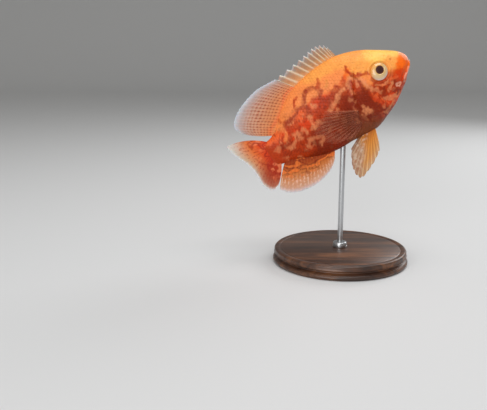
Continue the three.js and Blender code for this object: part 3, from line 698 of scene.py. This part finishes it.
# Eyes: glass domes backed with a painted iris, set in the sockets as a taxidermist sets them.
# The pupil is dark maroon, as in a fish without black pigment, and stands forward of the middle.
PUPIL = (0.55, 0.75)  # its middle, forward of and above the iris's middle
PUPIL_RADIUS = 2.2
EYE_SINK = 1.9
PUPIL_DEPTH = 0.22
IRIS_RIM = 0.16  # how far the iris swells round the pupil
EYE_SIDES = 128
EYE_RINGS = 120


def ramp(share, stops):
    """Colours from a list of shares and colours, run smoothly from one to the next."""
    at = [stop for stop, _ in stops]
    tones = np.array([linear(colour) for _, colour in stops])
    return np.stack([np.interp(share, at, tones[:, k]) for k in range(3)], -1)


# Enamelled glass: clear and very smooth over the colours, so that it mirrors the lights sharply
FIBRE_MM = 0.35
eye_material, tree, shader = new_material("enamelled_glass", Roughness=0.22, Coat_Weight=0.7,
                                          Coat_Roughness=0.02, IOR=1.5)
eye_paint = add_node(tree, "Attribute", attribute_name="markings").outputs["Color"]
spot = add_node(tree, "TexCoord").outputs["Object"]
fibres = add_node(tree, "TexNoise", {"Vector": spot, "Scale": per_metre(FIBRE_MM), "Detail": 4.0})
fibre_tone = add_node(tree, "MapRange", {"Value": fibres.outputs[0], "To Min": 0.90, "To Max": 1.08})
eye_tint = add_node(tree, "VectorMath", {0: eye_paint, 1: fibre_tone.outputs[0]}, operation="MULTIPLY")
tree.links.new(eye_tint.outputs[0], shader.inputs["Base Color"])
for side, name in ((-1.0, "eye_right"), (1.0, "eye_left")):
    bm = bmesh.new()
    bmesh.ops.create_uvsphere(bm, u_segments=EYE_SIDES, v_segments=EYE_RINGS, radius=1.0)
    mesh = as_mesh(name + "_glass", bm)
    ball = coordinates(mesh)
    across = np.hypot(ball[:, 0], ball[:, 1])
    turn = np.arctan2(ball[:, 1], ball[:, 0])
    front = ball[:, 2] > 0
    u, v = EYE_RADIUS * ball[:, 0], EYE_RADIUS * ball[:, 1]
    from_pupil = np.hypot(u - PUPIL[0], v - PUPIL[1])
    out = np.where(front, EYE_DOME, EYE_SINK) * ball[:, 2]
    out -= np.where(front, PUPIL_DEPTH * smooth(PUPIL_RADIUS + 0.5, PUPIL_RADIUS - 0.1, from_pupil), 0.0)
    out += np.where(front, IRIS_RIM * swell(from_pupil, PUPIL_RADIUS + 0.35, 0.3), 0.0)
    ring = from_pupil / EYE_RADIUS
    iris = ramp(ring, ((0.45, "#E8B868"), (0.55, "#DEB87A"), (0.75, "#DCBC8A"), (1.0, "#D8B284")))
    # Painted shade of the brow: the top of the iris is tinted amber
    amber = smooth(-0.15, 0.85, np.sin(turn - 0.3)) * smooth(0.40, 0.95, across)
    lilac = smooth(0.10, 0.95, -np.sin(turn)) * smooth(0.62, 0.98, across)
    iris += (linear("#EEA244") - iris) * (0.85 * amber)[:, None]
    iris += (linear("#DCCCCC") - iris) * (0.70 * lilac)[:, None]
    fibre = 1.0 + 0.05 * np.sin(turn * 37.0 + 2.0 * np.sin(turn * 5.0)) * smooth(1.0, 0.6, across)
    iris *= fibre[:, None]
    iris += (linear("#D08A48") - iris) * (0.7 * smooth(0.955, 0.99, across))[:, None]
    iris += (linear("#B8863C") - iris) * (0.7 * swell(from_pupil, PUPIL_RADIUS, 0.14))[:, None]
    pupil = smooth(PUPIL_RADIUS + 0.05, PUPIL_RADIUS - 0.12, from_pupil)
    core = ramp(from_pupil / PUPIL_RADIUS, ((0.0, "#2A0806"), (0.7, "#3C0E08"), (1.0, "#581A0E")))
    colours = iris + (core - iris) * pupil[:, None]
    tilt = out + (-u * math.tan(EYE_FORWARD) - v * math.tan(EYE_UP))
    place = np.stack([EYE[0] + u, side * (EYE_RIM + tilt), EYE[1] + v], -1)
    colours = np.clip(colours, 0.0, 1.0)
    add_piece(name + "_glass", mesh, to_frame(place), eye_material, (name,), colours)

# Fins: each a fan of rays that swell out of one thin membrane, spread from a fleshy root to a
# thin margin. Soft rays fork twice on their way out, and spines stay single and end in white tips.
RAY_COLUMNS = 10  # columns of the mesh for each ray
FIN_STEPS = 44
MEMBRANE = 0.09  # half its thickness at the root, in millimetres
SPINE = 0.20  # how far a spine swells out of it
SOFT_RAY = 0.14
TIP_THINNING = 0.62


def fin_sheet(rays):
    """A fin's closed sheet: x from its first ray to its last, y from root to margin, z 0 or 1."""
    bm = bmesh.new()
    bmesh.ops.create_grid(bm, x_segments=rays * RAY_COLUMNS, y_segments=FIN_STEPS, size=0.5)
    bmesh.ops.translate(bm, verts=bm.verts[:], vec=(0.5, 0.5, 0.0))
    far = bmesh.ops.extrude_face_region(bm, geom=bm.faces[:])
    moved = [item for item in far["geom"] if isinstance(item, bmesh.types.BMVert)]
    bmesh.ops.translate(bm, verts=moved, vec=(0.0, 0.0, 1.0))
    bmesh.ops.recalc_face_normals(bm, faces=bm.faces[:])
    return bm


def ray_ridge(ray, out, rays, spiny):
    """How much of a ray each place on a fin is, from 0 on the membrane to 1 on a ray."""
    phase = ray * rays
    apart = np.abs(phase - np.round(phase))
    if spiny:
        return swell(apart, 0.0, 0.17 - 0.07 * out)
    fork = 0.17 * smooth(0.35, 0.85, out)
    twig = 0.075 * smooth(0.68, 1.0, out)
    branch = np.abs(apart - fork)
    return swell(branch, twig, 0.12 - 0.055 * out)


def fin(name, root, margin, rays, sideways, paint, spiny=False, notch=0.35, bulge=None, flesh=0.0,
        sway=0.3, seed=1, film=None):
    """One fin: its lines and number of rays, how far it stands to the side, and its colours."""
    film = film or fin_material
    mesh = as_mesh(name + "_rayed", fin_sheet(rays))
    sheet = coordinates(mesh)
    ray, out, face = sheet[:, 0], sheet[:, 1], sheet[:, 2]
    start, end = through(root, ray), through(margin, ray)
    line = end - start
    reach = np.linalg.norm(line, axis=1)
    phase = ray * rays
    if spiny:
        fringe = notch * (0.12 - 0.95 * (phase - np.floor(phase + 1e-6)))
    else:
        apart = np.abs(phase - np.round(phase)) * 2.0
        fringe = notch * (0.4 - apart ** 2) + 0.12 * cloud(phase * 3.0, phase * 0.0, 1.0, seed)
    stretch = out * (1.0 + fringe / reach * smooth(0.55, 1.0, out))
    place = start + line * stretch[:, None]
    if bulge is not None:
        across = np.stack([line[:, 1], -line[:, 0]], -1) / reach[:, None]
        place = place + across * (bulge(ray) * 4.0 * out * (1.0 - out))[:, None]
    ridge = ray_ridge(ray, out, rays, spiny)
    taper = 1.0 - TIP_THINNING * out
    half = MEMBRANE * taper + ridge * (SPINE if spiny else SOFT_RAY) * taper
    half = half + flesh * smooth(0.34, 0.0, out) + 0.10 * smooth(0.15, 0.0, out)
    ripple = sway * out ** 1.5 * cloud(ray * 14.0, out * 3.0, 2.4, seed + 70)
    y = sideways(ray, out, place) + ripple + (2.0 * face - 1.0) * half
    spot = np.stack([place[:, 0], y, place[:, 1]], -1)
    colours = paint(ray, out, ridge, place)
    colours = np.clip(colours, 0.0, 1.0)
    add_piece(name + "_rayed", mesh, to_frame(spot), film, (name,), colours)


def tinted(colour, other, share):
    """Colours moved a share of the way to another colour."""
    return colour + (linear(other) - colour) * np.clip(share, 0.0, 1.0)[..., None]


# Cast film: thin varnished resin that a little light sinks into, which softens its colours
fin_material = painted_resin("cast_resin_film", 0.25, 0.9, Coat_Weight=0.04, Coat_Roughness=0.25,
                             Specular_IOR_Level=0.15, Subsurface_Weight=0.10, Subsurface_Scale=0.0006)
# Clear film: thinner still on the pectoral fins, so that the marbled belly shows through them
clear_material = painted_resin("clear_resin_film", 0.25, 0.9, Coat_Weight=0.04, Coat_Roughness=0.25,
                               Specular_IOR_Level=0.20)
tree = clear_material.node_tree
clearness = tree.nodes["Attribute"].outputs["Alpha"]
tree.links.new(clearness, tree.nodes["Principled BSDF"].inputs["Alpha"])


def paint_spiny(ray, out, ridge, place):
    """Tan membrane that runs to orange at its root, with cream spines and whitish tips."""
    colours = ramp(out, ((0.0, "#F79C50"), (0.20, "#D6965A"), (0.5, "#AE8460"), (0.85, "#A08C7C"),
                         (1.0, "#B4B0AE")))
    colours = tinted(colours, "#B47A58", 0.5 * smooth(0.0, 0.6, cloud(ray * 40.0, out * 9.0, 1.0, 82)))
    colours = tinted(colours, "#D8905E", 0.5 * smooth(0.7, 1.0, ray) * smooth(0.9, 0.4, out))
    colours = tinted(colours, "#EAD6B8", 0.80 * ridge * smooth(0.05, 0.3, out))
    colours = tinted(colours, "#F4F0EA", smooth(0.80, 0.96, out) * ridge)
    return colours * (1.0 + 0.06 * cloud(place[:, 0], place[:, 1], 1.6, 81))[:, None]


def paint_soft(ray, out, ridge, place):
    """Orange root, peach-grey membrane with rows of red-brown dashes on its rays, pale margin."""
    colours = ramp(out, ((0.0, "#F08C48"), (0.20, "#DC8850"), (0.38, "#D49066"), (0.68, "#C8A08A"),
                         (0.88, "#B8A8A4"), (1.0, "#C4CCD6")))
    streak = swell(out, 0.12 + 0.06 * np.sin(ray * 9.0), 0.05)
    colours = tinted(colours, "#F07038", 0.7 * streak)
    rows = np.sin(2.0 * math.pi * (out * 13.0 + 0.45 * cloud(ray * 8.0, out * 5.0, 1.0, 83)))
    band = smooth(0.06, 0.22, out) * smooth(0.90, 0.58, out) * smooth(0.0, 0.12, ray)
    colours = tinted(colours, "#B8501E", 0.35 * band * smooth(0.0, 0.7, rows))
    colours = tinted(colours, "#8A260A", 0.95 * smooth(0.12, 0.5, ridge) * smooth(-0.3, 0.3, rows) * band)
    colours = tinted(colours, "#A85A38", 0.35 * ridge * smooth(0.95, 0.7, out))
    return colours * (1.0 + 0.05 * cloud(place[:, 0], place[:, 1], 1.5, 84))[:, None]


def paint_tail(ray, out, ridge, place):
    """Marbled red root that runs to orange, a browner lower lobe, and a whitish corner and margin."""
    upper = ramp(out, ((0.0, "#D23A14"), (0.25, "#E25020"), (0.5, "#E8783C"), (0.75, "#E4A070"),
                       (0.92, "#DCC0A4"), (0.96, "#E6E2E0"), (1.0, "#EEEEF0")))
    lower = ramp(out, ((0.0, "#C02E12"), (0.3, "#B43418"), (0.6, "#AC4A2C"), (0.85, "#B87054"),
                       (0.94, "#D6BCB0"), (0.97, "#E6E2E0"), (1.0, "#EEEEF0")))
    colours = upper + (lower - upper) * smooth(0.30, 0.70, ray)[:, None]
    colours = tinted(colours, "#E2E0DC", 0.75 * smooth(0.32, 0.0, ray) * smooth(0.55, 0.95, out))
    worms = np.abs(cloud(place[:, 0], place[:, 1], 2.6, 91)) * smooth(-0.2, 1.0, 1.0 - out)
    blots = smooth(0.10, 0.5, cloud(place[:, 0], place[:, 1], 2.2, 85))
    colours = tinted(colours, "#F68858", 0.75 * blots * smooth(0.8, 0.4, out))
    colours = tinted(colours, "#A01E0A", 0.7 * smooth(0.22, 0.04, worms) * smooth(0.75, 0.4, out))
    flecks = smooth(-0.1, 0.4, cloud(ray * 50.0, out * 26.0, 1.0, 86))
    return tinted(colours, "#A8280E", 0.75 * smooth(0.1, 0.6, ridge) * flecks * smooth(0.93, 0.7, out))


def paint_anal(ray, out, ridge, place):
    """Maroon root marbled with orange, a tan middle flecked with pink, and a pale margin."""
    colours = ramp(out, ((0.0, "#8A240C"), (0.25, "#B04818"), (0.45, "#D07838"), (0.65, "#DC925E"),
                         (0.88, "#D8A488"), (0.95, "#D8BCB6"), (1.0, "#E2DEE4")))
    bend = 0.8 * cloud(place[:, 0], place[:, 1], 1.5, 95)
    swirl = cloud(place[:, 0] * 0.75 + 0.4 * place[:, 1] + bend, place[:, 1] * 1.25 - bend, 1.9, 87)
    inner = smooth(0.72, 0.40, out)
    colours = tinted(colours, "#F27C34", 0.90 * smooth(0.0, 0.40, swirl) * inner)
    colours = tinted(colours, "#84200C", 0.85 * smooth(0.22, 0.05, np.abs(swirl + 0.12)) * inner)
    flecks = smooth(-0.1, 0.4, cloud(ray * 60.0, out * 26.0, 1.0, 89))
    colours = tinted(colours, "#F4CDB8", 0.60 * (1.0 - ridge) * flecks * smooth(0.5, 0.7, out))
    return tinted(colours, "#B8602E", 0.50 * ridge * smooth(0.95, 0.6, out))


def paint_pectoral(ray, out, ridge, place):
    """Thin brown-red film, paler rays and a coral upper edge; the fourth channel is its opacity."""
    colours = ramp(out, ((0.0, "#7E301C"), (0.3, "#8A3C26"), (0.7, "#964A34"), (1.0, "#AC6048")))
    colours = tinted(colours, "#C87A5A", 0.60 * smooth(0.1, 0.8, ridge))
    colours = tinted(colours, "#E88C68", 0.85 * smooth(0.08, 0.02, ray))
    uneven = 0.10 * cloud(ray * 9.0, out * 5.0, 1.0, 94)
    solid = 0.22 + uneven + 0.25 * smooth(0.5, 0.0, out) - 0.18 * smooth(0.75, 1.0, out)
    solid += 0.30 * smooth(0.1, 0.8, ridge) * smooth(1.0, 0.6, out)
    return np.concatenate([colours, np.clip(solid, 0.0, 0.9)[:, None]], axis=1)


def paint_pelvic(ray, out, ridge, place):
    """Golden with darker ray lines, a pinkish leading spine and a greyer hind part with small curls."""
    colours = ramp(out, ((0.0, "#C46A24"), (0.3, "#DC8C36"), (0.7, "#DC9C56"), (1.0, "#DCBC94")))
    hind = smooth(0.50, 0.75, ray)
    colours = tinted(colours, "#B8A08C", 0.75 * hind * smooth(0.15, 0.5, out))
    colours = tinted(colours, "#9A4C1C", 0.65 * ridge)
    flecks = smooth(0.2, 0.6, cloud(place[:, 0], place[:, 1], 1.1, 92))
    curls = smooth(0.25, 0.05, np.abs(cloud(place[:, 0], place[:, 1], 1.7, 93)))
    colours = tinted(colours, "#E4CDB8", 0.45 * hind * flecks)
    colours = tinted(colours, "#9A5A34", 0.4 * hind * curls)
    return tinted(colours, "#F4D8D0", 0.85 * smooth(0.075, 0.02, ray))


def on_midline(ray, out, place):
    """A fin that stands straight up from the middle of the back."""
    return np.zeros(ray.shape)


REAR_LEAN = {"dorsal": 1.2, "anal": 1.6}
fin("dorsal_fin_spiny",
    ((57.4, 24.0), (56.0, 24.3), (53.2, 24.5), (47.6, 24.5), (40.0, 24.0), (30.2, 22.5)),
    ((56.7, 27.0), (54.9, 32.6), (49.8, 35.5), (43.2, 34.6), (34.0, 33.4), (23.0, 32.4)),
    13, on_midline, paint_spiny, spiny=True, notch=2.4, flesh=0.35, seed=1)
fin("dorsal_fin_soft",
    ((30.1, 22.5), (24.5, 19.8), (18.5, 15.8), (12.5, 10.2), (7.6, 6.6)),
    ((22.9, 32.4), (17.4, 32.8), (12.0, 33.1), (6.0, 32.1), (0.0, 30.2), (-5.0, 27.6), (-8.4, 24.8),
     (-9.7, 21.4), (-8.0, 17.2)),
    20, lambda ray, out, place: REAR_LEAN["dorsal"] * ray * out ** 2, paint_soft,
    bulge=lambda ray: -0.9 * ray ** 4, flesh=0.75, seed=2)

CAUDAL_CUP = 11.0


def swept(ray, out, place):
    """The tail fin's sweep to the fish's left."""
    return CAUDAL_CUP * np.sin(math.pi * (0.04 + 0.86 * ray)) ** 1.2 * out ** 1.7


fin("caudal_fin",
    ((1.6, 5.6), (-0.4, 2.8), (-0.8, -1.0), (-0.4, -5.0), (1.6, -8.2)),
    ((-19.3, 15.9), (-18.9, 10.8), (-17.0, 4.8), (-14.9, -1.6), (-14.2, -8.3), (-14.4, -14.2), (-13.0, -18.4),
     (-10.4, -19.9), (-7.2, -18.7)),
    17, swept, paint_tail, bulge=lambda ray: 2.2 * (1 - ray) ** 5 - 0.8 * ray ** 4, flesh=0.9, sway=0.5,
    seed=3)
fin("anal_fin",
    ((31.0, -16.8), (24.5, -14.6), (17.8, -11.8), (11.0, -9.2), (4.8, -7.6)),
    ((27.8, -22.2), (24.8, -25.0), (20.4, -27.2), (15.5, -28.5), (10.5, -28.9), (5.5, -28.4), (0.5, -27.0),
     (-4.2, -24.3), (-7.0, -20.6)),
    18, lambda ray, out, place: REAR_LEAN["anal"] * ray * out ** 2, paint_anal,
    bulge=lambda ray: 0.6 * ray ** 4, flesh=0.75, seed=4)

PECTORAL_SPREAD = {"right": 3.2, "left": 9.0}
PECTORAL_SEAT = 0.1  # how far its root stands off the skin
PELVIC_SWEEP = {"right": 0.0, "left": 1.0}
PELVIC_STANCE = (2.6, 0.6, 1.4)  # out from the middle at its front, its rear and its tip


def body_half_width(x, z):
    """The body's half width at places on its side."""
    s = through(SECTIONS, share_at(x))
    above = z > s[..., 4]
    reach = np.where(above, s[..., 1] - s[..., 4], s[..., 4] - s[..., 2])
    power = np.where(above, s[..., 5], s[..., 6])
    inside = 1.0 - np.clip(np.abs(z - s[..., 4]) / reach, 0.0, 1.0) ** power
    return s[..., 3] * inside ** (1.0 / power)


for side, sign in (("right", -1.0), ("left", 1.0)):
    spread = PECTORAL_SPREAD[side]
    fin("pectoral_fin_" + side,
        ((51.4, -4.6), (50.4, -7.2), (49.8, -9.6), (49.6, -12.2)),
        ((36.0, 5.0), (30.0, 3.4), (26.4, -0.4), (26.0, -5.2), (28.6, -10.2), (33.6, -14.4), (42.4, -17.2)),
        12, lambda ray, out, p: sign * (
            body_half_width(p[:, 0], p[:, 1]) + PECTORAL_SEAT + spread * out ** 0.8
        ),
        paint_pectoral, notch=0.8, flesh=0.3, sway=0.35, seed=5, film=clear_material)
    sweep = PELVIC_SWEEP[side]
    fin("pelvic_fin_" + side,
        ((55.4, -18.2), (53.2, -18.2), (51.0, -18.0), (48.8, -17.6)),
        ((53.2, -25.0), (50.4, -30.4), (43.2 + sweep, -35.2), (34.8 + sweep, -38.0), (33.4 + sweep, -31.8),
         (37.8 + sweep, -23.0)),
        11, lambda ray, out, p: sign * (PELVIC_STANCE[0] + PELVIC_STANCE[1] * ray + PELVIC_STANCE[2] * out),
        paint_pelvic, notch=0.9, sway=0.5, seed=6)

# Stand base: a disc of walnut turned on a lathe with a round foot, a cove and a shoulder, and a fine
# groove in its top, then oiled. A felt pad is let into its underside.
BASE_HEIGHT = 8.0
FELT_RADIUS = 34.0
FELT_DEPTH = 0.6
SEAT_RADIUS = 4.4  # the flat top's part round the collar
SHARP_EDGE = math.radians(38.0)


def turned(name, profile, steps, material, replaced):
    """A solid spun round the upright axis from a closed outline of radii and heights in millimetres."""
    bm = bmesh.new()
    points = [bm.verts.new((radius, 0.0, height)) for radius, height in profile]
    edges = [bm.edges.new(pair) for pair in zip(points, points[1:])]
    bmesh.ops.spin(bm, geom=points + edges, axis=(0, 0, 1), cent=(0, 0, 0), angle=2 * math.pi, steps=steps,
                   use_merge=True)
    bmesh.ops.remove_doubles(bm, verts=bm.verts[:], dist=1e-4)
    mesh = as_mesh(name, bm)
    add_piece(name, mesh, coordinates(mesh) / 1000.0, material, replaced)
    mesh.set_sharp_from_angle(angle=SHARP_EDGE)


# Oiled walnut: open-pored brown wood with long grain, satin where the oil has been rubbed out
walnut, tree, shader = new_material("oiled_walnut", Roughness=0.42, Coat_Weight=0.25, Coat_Roughness=0.25)
spot = add_node(tree, "TexCoord").outputs["Object"]
stretch = add_node(tree, "Mapping", {"Vector": spot, "Scale": (0.10, 1.0, 0.6)})
figure = add_node(tree, "TexNoise", {"Vector": stretch.outputs[0], "Scale": per_metre(5.0), "Detail": 5.0,
                                     "Distortion": 0.9})
pores = add_node(tree, "TexNoise", {"Vector": stretch.outputs[0], "Scale": per_metre(0.7), "Detail": 3.0})
wood = add_node(tree, "ValToRGB", {"Fac": figure.outputs[0]})
wood.color_ramp.elements[0].position = 0.32
wood.color_ramp.elements[0].color = rgba("#2E1A10")
wood.color_ramp.elements[1].position = 0.68
wood.color_ramp.elements[1].color = rgba("#7A4E30")
middle_tone = wood.color_ramp.elements.new(0.5)
middle_tone.color = rgba("#523220")
open_pores = add_node(tree, "MapRange", {"Value": pores.outputs[0], "From Min": 0.35, "From Max": 0.5,
                                         "To Min": 0.62})
toned = add_node(tree, "VectorMath", {0: wood.outputs["Color"], 1: open_pores.outputs[0]},
                 operation="MULTIPLY")
tree.links.new(toned.outputs[0], shader.inputs["Base Color"])
pore_bump = add_node(tree, "Bump", {"Height": pores.outputs[0], "Strength": 0.3, "Distance": 0.0001})
tree.links.new(pore_bump.outputs[0], shader.inputs["Normal"])


def rounded(radius, height, bend, steps):
    """A quarter circle's points round a centre, from its outermost to its highest."""
    turns = [math.pi / 2 * k / steps for k in range(steps + 1)]
    return [(radius + bend * math.cos(turn), height + bend * math.sin(turn)) for turn in turns]


foot = [(37.2 + 0.8 * math.sin(math.pi * k / 10), 0.3 + 2.5 * k / 10) for k in range(11)]
cove = [(37.4 - 1.5 * math.sin(math.pi * k / 12), 3.0 + 2.2 * k / 12) for k in range(13)]
shoulder = rounded(35.9, 6.7, 1.3, 8)
groove = [(34.6, BASE_HEIGHT), (33.9, 7.6), (33.2, BASE_HEIGHT)]
turned("stand_base_turned",
       [(0.0, FELT_DEPTH), (FELT_RADIUS, FELT_DEPTH), (FELT_RADIUS, 0.0), (36.9, 0.0), *foot, *cove,
        (37.2, 5.5), *shoulder, *groove, (SEAT_RADIUS, BASE_HEIGHT), (0.0, BASE_HEIGHT)],
       160, walnut, ("stand_base",))

# Felt: short dense wool that is matt and slightly uneven
felt, tree, shader = new_material("pressed_felt", Roughness=1.0, Sheen_Weight=0.4)
spot = add_node(tree, "TexCoord").outputs["Object"]
fibre = add_node(tree, "TexNoise", {"Vector": spot, "Scale": per_metre(0.6), "Detail": 5.0})
wool = add_node(tree, "ValToRGB", {"Fac": fibre.outputs[0]})
wool.color_ramp.elements[0].color = rgba("#14281C")
wool.color_ramp.elements[1].color = rgba("#2C4C38")
tree.links.new(wool.outputs["Color"], shader.inputs["Base Color"])
FELT_EDGE = FELT_RADIUS - 0.2
FELT_LIFT = 0.05
turned("stand_felt", [(0.0, FELT_LIFT), (FELT_EDGE, FELT_LIFT), (FELT_EDGE, FELT_DEPTH + FELT_LIFT),
                      (0.0, FELT_DEPTH + FELT_LIFT)], 96, felt, ())

# Rod and collar: a ground steel rod glued into the base's middle, and a turned collar round it where
# it leaves the wood. Brushing round them leaves fine rings that stretch the lights into streaks.
ROD_RADIUS = 1.5
ROD_FOOT = 3.5
ROD_TOP = 73.4
steel, tree, shader = new_material("brushed_steel", Metallic=1.0, Roughness=0.3)
spot = add_node(tree, "TexCoord").outputs["Object"]
rings = add_node(tree, "Mapping", {"Vector": spot, "Scale": (0.15, 0.15, 1.0)})
brushing = add_node(tree, "TexNoise", {"Vector": rings.outputs[0], "Scale": per_metre(0.25), "Detail": 3.0})
brushed = add_node(tree, "ValToRGB", {"Fac": brushing.outputs[0]})
brushed.color_ramp.elements[0].color = rgba("#A4A6A8")
brushed.color_ramp.elements[1].color = rgba("#D4D6D8")
tree.links.new(brushed.outputs["Color"], shader.inputs["Base Color"])
uneven = add_node(tree, "MapRange", {"Value": brushing.outputs[0], "To Min": 0.22, "To Max": 0.40})
tree.links.new(uneven.outputs[0], shader.inputs["Roughness"])
turned("stand_rod_ground",
       [(0.0, ROD_FOOT), (ROD_RADIUS, ROD_FOOT), (ROD_RADIUS, ROD_TOP), (0.0, ROD_TOP)],
       64, steel, ("stand_rod",))
COLLAR_BORE = 1.52
COLLAR_FOOT = 8.05
collar_top = rounded(3.0, 10.3, 0.9, 6)
turned("stand_collar_turned",
       [(COLLAR_BORE, COLLAR_FOOT), (3.9, COLLAR_FOOT), (4.0, 8.3), (4.0, 8.9), (3.8, 9.0), (3.8, 9.2),
        (4.0, 9.3), (3.9, 10.3), *collar_top[1:], (COLLAR_BORE, 11.2), (COLLAR_BORE, COLLAR_FOOT)],
       96, steel, ("stand_collar",))
